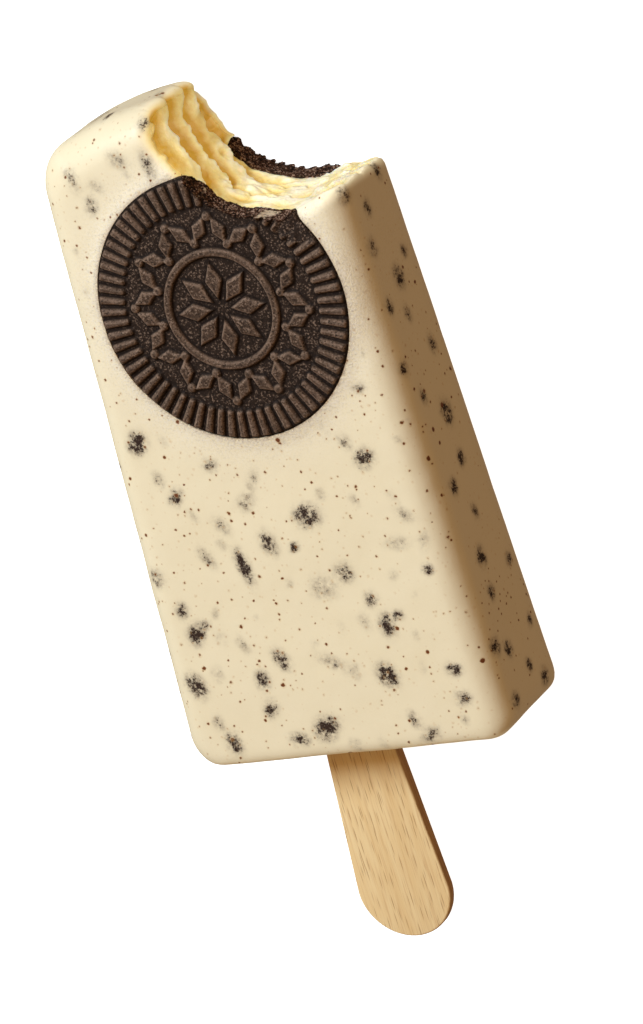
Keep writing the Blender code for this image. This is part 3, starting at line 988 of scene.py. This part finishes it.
def crumbField(found, spots):
    # 1 in the middle of a crumb, 0 away from all
    field = np.zeros(len(found))
    for hit, way, long, short, dark in spots:
        gap = found - np.array(hit)
        near = (gap**2).sum(1) < 36.0
        along = gap[near] @ np.array(way)
        rest = np.maximum((gap[near] ** 2).sum(1) - along**2, 0.0)
        share = np.sqrt((along / long) ** 2 + rest / short**2)
        field[near] = np.maximum(field[near], dark * np.exp(-0.5 * share**2.2))
    return field


def fromWafer(found):
    # distance outside the front wafer's rim, seen from above
    return np.hypot(found[:, 0] - wafer["x"], found[:, 1] - wafer["y"]) - wafer["radius"]


def dipUneven(body):
    # slow waves of the dipped coat, and a lip where it laps against the front wafer
    found = places(body)
    out = normals(body)
    swell = bar["unevenness"] * noiseAt(found, 11.0, 1.0) + 0.035 * noiseAt(found, 3.5, 2.0)
    front = out[:, 2] > 0.8
    lip = 0.28 * np.exp(-((fromWafer(found) / 1.5) ** 2)) * (1.0 + 0.5 * noiseAt(found, 5.0, 6.0))
    swell = np.where(out[:, 2] < -0.5, np.minimum(swell, 0.0), swell - 0.05)  # the back lies flat
    setPlaces(body, found + out * (swell + np.where(front, lip, 0.0))[:, None])


def finerRound(item):
    # smaller faces on the outside round the bite
    bm = bmesh.new()
    bm.from_mesh(item.data)
    middle = Vector((bite["x"], bite["y"]))
    close = {v for v in bm.verts if abs((v.co.xy - middle).length - bite["radius"]) < bite["fineReach"]}
    near = [e for e in bm.edges if close.issuperset(e.verts)]
    bmesh.ops.subdivide_edges(bm, edges=near, cuts=1, use_grid_fill=True)
    bmesh.ops.triangulate(bm, faces=[f for f in bm.faces if len(f.verts) > 4])
    bm.to_mesh(item.data)
    bm.free()


def biteFields(item, skin):
    # how deep in a hollow, with painted shade added on the left wall and just behind the front rim, how
    # deep below the outside, and the painted glow of the rim that stands for the light it passes on
    found = places(item)
    turn, away = roundBite(found)
    out = normals(item)
    towards = Vector(studio["fill"]["from"]).normalized()
    hollow = np.zeros(len(found))
    glow = np.zeros(len(found))
    depth = np.zeros(len(found))
    for i in np.flatnonzero(away < bite["radius"] + 5.0):
        _, facing, _, depth[i] = skin.find_nearest(Vector(found[i]))
        base = biteBase(turn[i], found[i, 2])
        hollow[i] = biteRelief(turn[i], found[i, 2]) * calm(depth[i], turn[i], facing.z)
        # painted shade: the left wall, turned from the key light, and a band just behind the front rim lean
        # further towards amber
        left = ease(turn[i], 243.0, -36.0)
        rimShadeBand = bell(depth[i], 2.6, 1.6) * (facing.z + 1.0) / 2.0
        hollow[i] = hollow[i] * (1.4 - 0.3 * left) - 0.1 + left * (1.0 + 0.1 * rimShadeBand)
        fade = 3.4 - 1.9 * ease(turn[i], 292.0, 20.0)
        wall = ease(away[i] - base, fade, -fade)
        # painted light: the rim glows as far as it faces the fill light
        glow[i] = max(wall, ease(depth[i], 0.0, 0.8)) * max(towards.dot(Vector(out[i])), 0.0)
    # painted light: the coat's edge at the stick end glows faintly as well
    edge = smoothStep(1.0 - found[:, 1] / 2.0) * smoothStep((found[:, 2] - 4.0) / 6.0)
    glow = np.maximum(glow, 0.4 * edge * smoothStep(-out[:, 1] * 1.5))
    hollow = np.clip(hollow / bite["stepDepth"] * 0.85 + 0.18, 0.0, 1.0)
    return {"hollow": hollow, "depth": depth, "glow": glow}


def makeFood():
    body = makeBody()
    dipUneven(body)
    print("scene: body of the bar done,", len(body.data.polygons), "faces")
    skin = tree(body)
    cutter = biteCutter("bite", skin, lambda a, z, depth, facing: biteRelief(a, z) * calm(depth, a, facing))
    crumbly = biteCutter("break", skin, lambda a, z, depth, facing: crumbRelief(a, z))
    print("scene: bite cutters done")

    inside = barBody("inside", bar["coat"], 12, 6)
    core = barBody("iceCream", bar["coat"], 12, 6)
    slot = stickBody("slot", 0.04)
    front, back = waferPlaces()
    wells = [waferWell(place) for place in (front, back)]
    finerRound(body)
    boolean(body, cutter)
    roundRims(body, cutter, skin)
    boolean(core, body, "INTERSECT")
    coat = body
    for tool in (inside, *wells, slot):
        boolean(coat, tool)
    for tool in (*wells, slot):
        boolean(core, tool)
    setAttributes(core, hollow=biteFields(core, skin)["hollow"])
    setAttributes(coat, **biteFields(coat, skin))
    found = places(coat)
    frost = np.exp(-np.maximum(fromWafer(found), 0.0) / coatLook["frostReach"])
    setAttributes(coat, frost=frost, crumb=crumbField(found, crumbSpots(skin)))
    print("scene: coat", len(coat.data.polygons), "and ice cream", len(core.data.polygons), "faces")

    waferFront = makeWafer("waferFront", front, crumbly, wafer["wornAt"])
    waferBack = makeWafer("waferBack", back, crumbly)
    print("scene: wafers done,", len(waferFront.data.polygons), "faces")
    wood = stickBody("stickWood", 0.0)
    setAttributes(wood, side=1.0 - smoothStep((np.abs(normals(wood)[:, 2]) - 0.25) / 0.4))
    for tool in (cutter, crumbly, inside, slot, *wells):
        bpy.data.objects.remove(tool, do_unlink=True)

    finishPiece(coat, coatPaint(), "coat", 50)
    finishPiece(core, iceCreamPaint(), "ice_cream", 60)
    cocoa = waferPaint()
    finishPiece(waferFront, cocoa, "wafer_front", 50)
    finishPiece(waferBack, cocoa, "wafer_back", 50)
    finishPiece(wood, woodPaint(), "stick", 40)
    lightOnly("fill", core)
    lightOnly("warm", coat, core, waferFront, waferBack, wood)


coatLook = {
    "cream": (0.885, 0.785, 0.545),
    "paler": (0.925, 0.835, 0.61),
    "frost": (0.94, 0.88, 0.76),
    # painted shade among the frost's grains
    "frostShade": (0.50, 0.44, 0.34),
    "frostReach": 2.6,  # millimetres from the wafer
    "waferEdgeShadow": (0.34, 0.21, 0.11),  # painted shadow along the edge of the wafer, in a cocoa brown
    "crumbDark": (0.030, 0.014, 0.008),
    "crumbHaze": (0.25, 0.19, 0.135),
    "dot": (0.17, 0.052, 0.016),
    "dotHalo": (0.62, 0.38, 0.14),
    # strength of the painted glow on the coat's bitten rim and its edge at the stick end
    "glow": 0.51,
    "roughness": 0.42,
}


def coatPaint():
    paint = Paint("coat", {"Specular IOR Level": 0.35})
    place = paint.place()
    cream = paint.mix(paint.noise(place, 7.0, 4.0), coatLook["cream"], coatLook["paler"])
    fine = paint.noise(place, 0.45, 3.0, 0.6)
    cream = paint.mix(paint.step(fine, 0.35, 0.75) * 0.35, cream, coatLook["paler"])

    frost = paint.attribute("frost")
    sugar = paint.noise(place, 0.35, 2.0, 0.7)
    dusted = (frost * 1.5 * paint.step(sugar, 0.35, 0.65)).clamped()
    cream = paint.mix(dusted * 0.8, cream, coatLook["frost"])
    # painted shade: grey specks among the frost stand for the shadows between its grains
    shaded = frost * paint.step(paint.noise(place, 0.42, 3.0, 0.7), 0.50, 0.68)
    cream = paint.mix(shaded * 0.65, cream, coatLook["frostShade"])
    # painted shadow: a cocoa-brown band where the coat meets the wafer's edge
    waferEdgeShadow = frost**6.0 * paint.step(sugar, 0.30, 0.55)
    cream = paint.mix(waferEdgeShadow * 0.7, cream, coatLook["waferEdgeShadow"])

    # the coat's cut wall takes the ice cream's colour, with its painted light and shade
    cream = paint.mix(paint.step(paint.attribute("depth"), 0.1, 1.5), cream, iceCreamColour(paint, place))

    # crumbs: a grey haze, and dark grains that crowd towards the middle
    field = paint.attribute("crumb")
    ragged = paint.noise(place, 1.3, 3.0, 0.65) - 0.5
    field = (field * (1.0 + ragged * 2.6)).clamped()
    grain = paint.noise(place, 0.34, 3.0, 0.75)
    dark = paint.step(field * 0.56 + 0.08 - grain, -0.10, 0.10)
    cream = paint.mix(paint.step(field, 0.02, 1.0) * 0.88, cream, coatLook["crumbHaze"])
    cream = paint.mix(dark, cream, coatLook["crumbDark"])

    # small brown dots of three sizes, each with a faint halo
    for size, reach in ((1.3, 0.25), (2.2, 0.38), (4.1, 0.50)):
        gap = paint.cells(place, size) * size
        draw = paint.draw(place, size)
        radius = draw * draw * reach
        wobble = (paint.noise(place, 0.4, 2.0) - 0.5) * 0.4
        cream = paint.mix(paint.step(radius - gap + wobble, -0.25, 0.12) * 0.45, cream, coatLook["dotHalo"])
        cream = paint.mix(paint.step(radius - gap + wobble, -0.03, 0.10), cream, coatLook["dot"])

    soft = paint.bump(paint.noise(place, 2.2, 3.0), 0.05)
    fine = paint.bump(fine, 0.02, under=soft)
    frosted = paint.bump(sugar * frost, 0.18, under=fine)
    grains = paint.bump(dark, 0.05, under=frosted)
    rough = frost * 0.3 + coatLook["roughness"] + dark * 0.2
    # painted light: the bitten edge glows (emission) in the fill light's colour, for some of the light that
    # falls on the ice cream and passes into the coat
    tint = {"data_type": "RGBA", "blend_type": "MULTIPLY"}
    passed = paint.node("ShaderNodeMix", tint, {0: 1.0, 6: cream, 7: studio["fill"]["colour"]}, 2)
    glow = paint.mix(paint.attribute("glow"), (0.0, 0.0, 0.0), passed)
    paint.surface.inputs["Emission Strength"].default_value = coatLook["glow"]
    return paint.output(Base_Color=cream, Roughness=rough, Normal=grains, Emission_Color=glow)


iceCreamLook = {
    # the ramp from pale to amber is painted light and shade on the bitten wall
    "pale": (0.94, 0.86, 0.66),
    "yellow": (0.86, 0.71, 0.33),
    "amber": (0.66, 0.38, 0.045),
    "scatter": 0.5,
    "scatterReach": 0.0012,  # metres
    "roughness": 0.45,
}


def iceCreamColour(paint, place):
    # painted light and shade: paler on the crests and amber in the hollows, standing for the light that
    # scatters in the ice cream and the shade that falls in its hollows
    cloud = paint.noise(place, 1.4, 4.0, 0.65) - 0.5
    shade = (paint.attribute("hollow") + cloud * 0.4).clamped()
    return paint.ramp(shade, (
        (0.20, iceCreamLook["pale"]), (0.44, iceCreamLook["yellow"]), (0.78, iceCreamLook["amber"]),
    ))


def iceCreamPaint():
    paint = Paint("iceCream", {
        "Specular IOR Level": 0.4,
        "Subsurface Weight": iceCreamLook["scatter"],
        "Subsurface Radius": (1.0, 0.75, 0.4),
        "Subsurface Scale": iceCreamLook["scatterReach"],
    })
    place = paint.place()
    colour = iceCreamColour(paint, place)
    fine = paint.noise(place, 0.5, 4.0, 0.65)
    normal = paint.bump(fine, 0.10)
    return paint.output(Base_Color=colour, Roughness=iceCreamLook["roughness"], Normal=normal)


waferLook = {
    "field": (0.025, 0.0145, 0.0098),
    # painted light: the raised tops are lighter than the field
    "top": (0.074, 0.045, 0.030),
    # painted highlight along the outlines of the raised forms
    "edge": (0.33, 0.22, 0.155),
    # painted shade round the raised forms
    "groove": (0.007, 0.003, 0.002),
    "grain": (0.36, 0.25, 0.185),
    "smear": (0.80, 0.66, 0.48),
    "pit": (0.010, 0.006, 0.004),
    "crumb": (0.080, 0.036, 0.022),
    "crumbPale": (0.42, 0.28, 0.21),
    "crumbDark": (0.010, 0.005, 0.004),
    "roughness": 0.6,
}


def waferPaint():
    paint = Paint("wafer", {"Specular IOR Level": 0.14})
    place = paint.place()
    raised = paint.attribute("raised")
    broken = paint.attribute("broken")
    grain = paint.noise(place, 0.42, 3.0, 0.75)
    tones = paint.draw(place, 0.24)
    patch = paint.noise(place, 3.0, 3.0)
    # painted shade: the field darkens to near black just outside the raised forms
    deep = paint.attribute("groove") * (1.0 - paint.step(raised, 0.15, 0.6))
    colour = paint.mix(deep * 0.95, waferLook["field"], waferLook["groove"])
    # painted light: the raised tops are lighter, in patches
    colour = paint.mix(paint.step(raised, 0.3, 0.9) * (0.4 + patch), colour, waferLook["top"])
    # painted highlight along the outlines of the raised forms, in patches
    colour = paint.mix(paint.attribute("edge") * patch, colour, waferLook["edge"])
    light = tones * 0.5 + grain
    colour = paint.mix(paint.step(light, 0.80, 1.08) * (1.0 - deep) * 0.6, colour, waferLook["grain"])
    colour = paint.mix((1.0 - paint.step(light, 0.44, 0.64)) * 0.8, colour, waferLook["pit"])
    speck = paint.noise(place, 0.9, 3.0, 0.7)
    mixed = tones * 0.6 + speck * 0.8
    fracture = paint.mix(paint.step(mixed, 0.50, 0.68), waferLook["crumbDark"], waferLook["crumb"])
    fracture = paint.mix(paint.step(mixed, 0.80, 0.94), fracture, waferLook["crumbPale"])
    colour = paint.mix(broken, colour, fracture)
    colour = paint.mix(paint.attribute("smear"), colour, waferLook["smear"])
    normal = paint.bump(light, 0.15)
    normal = paint.bump(mixed * broken, 0.45, under=normal)
    return paint.output(Base_Color=colour, Roughness=waferLook["roughness"], Normal=normal)


woodLook = {
    "pale": (0.96, 0.75, 0.42),
    "deep": (0.89, 0.65, 0.33),
    "line": (0.74, 0.49, 0.24),
    "dash": (0.44, 0.24, 0.10),
    "side": (0.52, 0.29, 0.13),
    "roughness": 0.55,
}


def woodPaint():
    paint = Paint("wood", {"Specular IOR Level": 0.3})
    along = paint.place((1.0, 14.0, 1.0))
    band = paint.noise(along, 1.6, 4.0, 0.55)
    colour = paint.mix(paint.step(band, 0.3, 0.7), woodLook["deep"], woodLook["pale"])
    hair = paint.noise(paint.place((1.0, 30.0, 1.0)), 0.28, 2.0)
    colour = paint.mix(paint.step(hair, 0.48, 0.72) * 0.6, colour, woodLook["line"])
    dashes = paint.cells(paint.place((1.0, 18.0, 1.0)), 0.34)
    dash = 1.0 - paint.step(dashes, 0.10, 0.34)
    colour = paint.mix(dash * 0.7, colour, woodLook["dash"])
    side = paint.attribute("side")
    colour = paint.mix(side * 0.85, colour, woodLook["side"])
    colour = paint.mix(side * paint.step(hair, 0.45, 0.6) * 0.8, colour, woodLook["dash"])
    normal = paint.bump(hair - dash * 0.6, 0.05)
    return paint.output(Base_Color=colour, Roughness=woodLook["roughness"], Normal=normal)


makeCamera()
makeLight()
makeFloor()
print("scene: camera, light and floor done")
makeFood()
print("scene: all pieces done")
